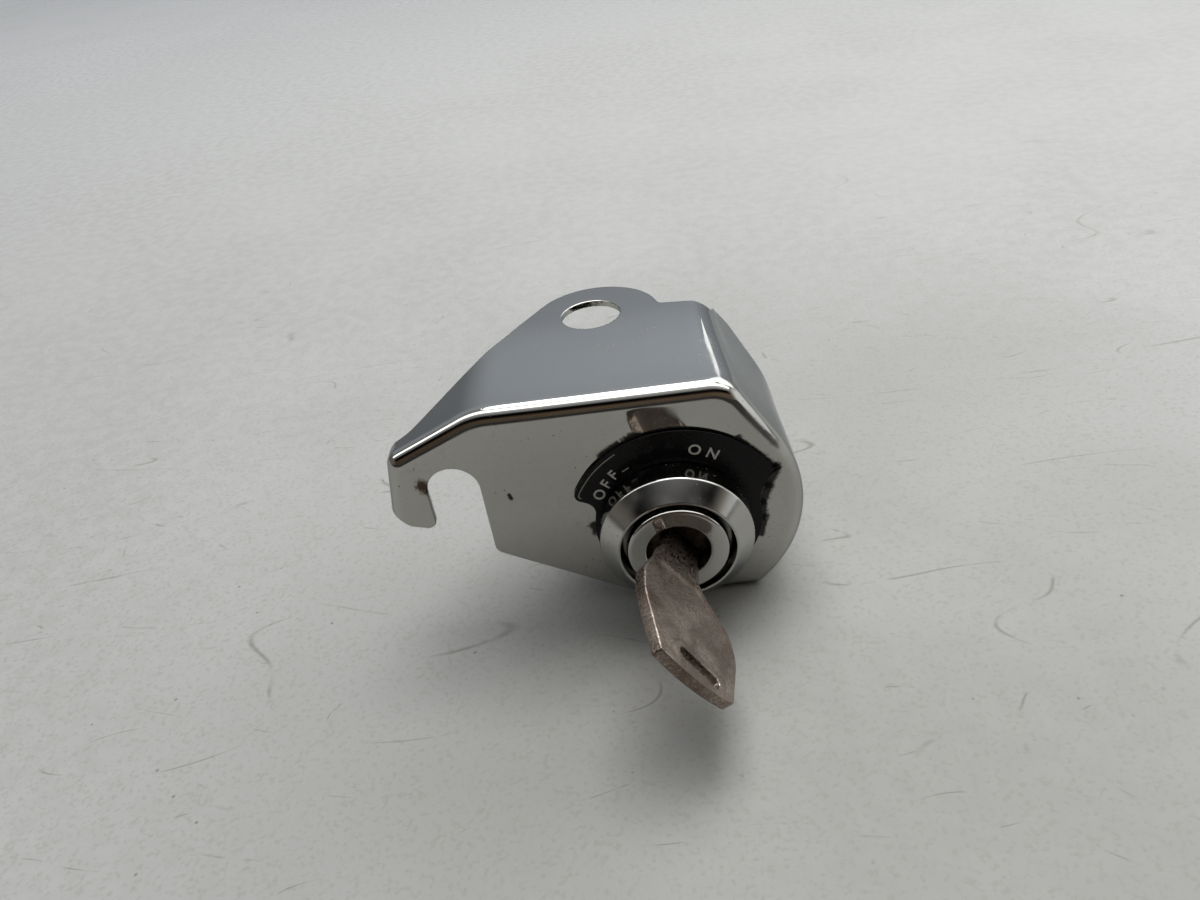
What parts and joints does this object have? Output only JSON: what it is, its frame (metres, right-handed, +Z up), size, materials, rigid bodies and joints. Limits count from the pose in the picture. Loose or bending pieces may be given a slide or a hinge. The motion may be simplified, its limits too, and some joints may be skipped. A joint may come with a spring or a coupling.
{
  "type": "ignition switch",
  "caption": "Side-mount motorcycle ignition switch: chromed pressed-steel cover with hook slot and bolt tab, conical nut, barrel lock with flat key, rotary switch behind.",
  "frame": {"origin": "on the underside of the cover's top flange, the face that is bolted down, 11 mm ahead of the bolt hole's centre", "axes": "+Z up through the flange, -Y out of the face toward the rider, +X to the right seen from the front; the lock axis runs along Y at x 12.5 mm, z -29.6 mm"},
  "size_m": [0.0815, 0.0885, 0.0512],
  "materials": {
    "chrome_plate": "polished, lightly pitted",
    "black_label": "satin black with pale print",
    "plated_steel": "zinc plated",
    "zinc_casting": "dull die casting",
    "plug_brass": "satin",
    "nickel_silver": "worn, brownish",
    "black_phenolic": "moulded, dull"
  },
  "bodies": {
    "body": {"cover": "chrome_plate", "label_plate": "black_label", "face_nut": "chrome_plate", "lock_washer": "plated_steel", "lock_housing": "zinc_casting", "terminal_board": "black_phenolic", "board_ring": "plated_steel", "terminal_battery": "plug_brass", "terminal_ignition": "plug_brass", "terminal_lights": "plug_brass", "terminal_screw_1": "plated_steel", "terminal_screw_2": "plated_steel", "terminal_screw_3": "plated_steel"},
    "plug": {"plug_cap": "chrome_plate", "lock_plug": "plug_brass", "plug_clip": "plated_steel", "switch_rotor": "black_phenolic", "detent_spring": "plated_steel", "contact_bridge": "plug_brass", "contact_spring": "plated_steel"},
    "key": {"key": "nickel_silver"},
    "ball": {"detent_ball": "plated_steel"},
    "tumbler_1": {"wafer_1": "plug_brass"},
    "tumbler_2": {"wafer_2": "plug_brass"},
    "tumbler_3": {"wafer_3": "plug_brass"},
    "tumbler_4": {"wafer_4": "plug_brass"},
    "tumbler_5": {"wafer_5": "plug_brass"}
  },
  "joints": [
    {"name": "key_turn", "type": "hinge", "parent": "body", "child": "plug", "pos_m": [0.0125, -0.0222, -0.0296], "axis": [0, 1, 0], "range_deg": [0, 63]},
    {"name": "key_withdraw", "type": "slide", "parent": "plug", "child": "key", "axis": [0, -1, 0], "range_m": [0, 0.0255]},
    {"name": "ball_stroke", "type": "slide", "parent": "plug", "child": "ball", "axis": [0, -1, 0], "range_m": [0, 0.0005], "stiffness_N_per_m": 300},
    {"name": "tumbler_1_lift", "type": "slide", "parent": "plug", "child": "tumbler_1", "axis": [0.5736, 0, -0.8192], "range_m": [0, 0.0008], "stiffness_N_per_m": 200},
    {"name": "tumbler_2_lift", "type": "slide", "parent": "plug", "child": "tumbler_2", "axis": [0.5736, 0, -0.8192], "range_m": [0, 0.0008], "stiffness_N_per_m": 200},
    {"name": "tumbler_3_lift", "type": "slide", "parent": "plug", "child": "tumbler_3", "axis": [0.5736, 0, -0.8192], "range_m": [0, 0.0008], "stiffness_N_per_m": 200},
    {"name": "tumbler_4_lift", "type": "slide", "parent": "plug", "child": "tumbler_4", "axis": [0.5736, 0, -0.8192], "range_m": [0, 0.0008], "stiffness_N_per_m": 200},
    {"name": "tumbler_5_lift", "type": "slide", "parent": "plug", "child": "tumbler_5", "axis": [0.5736, 0, -0.8192], "range_m": [0, 0.0008], "stiffness_N_per_m": 200}
  ]
}
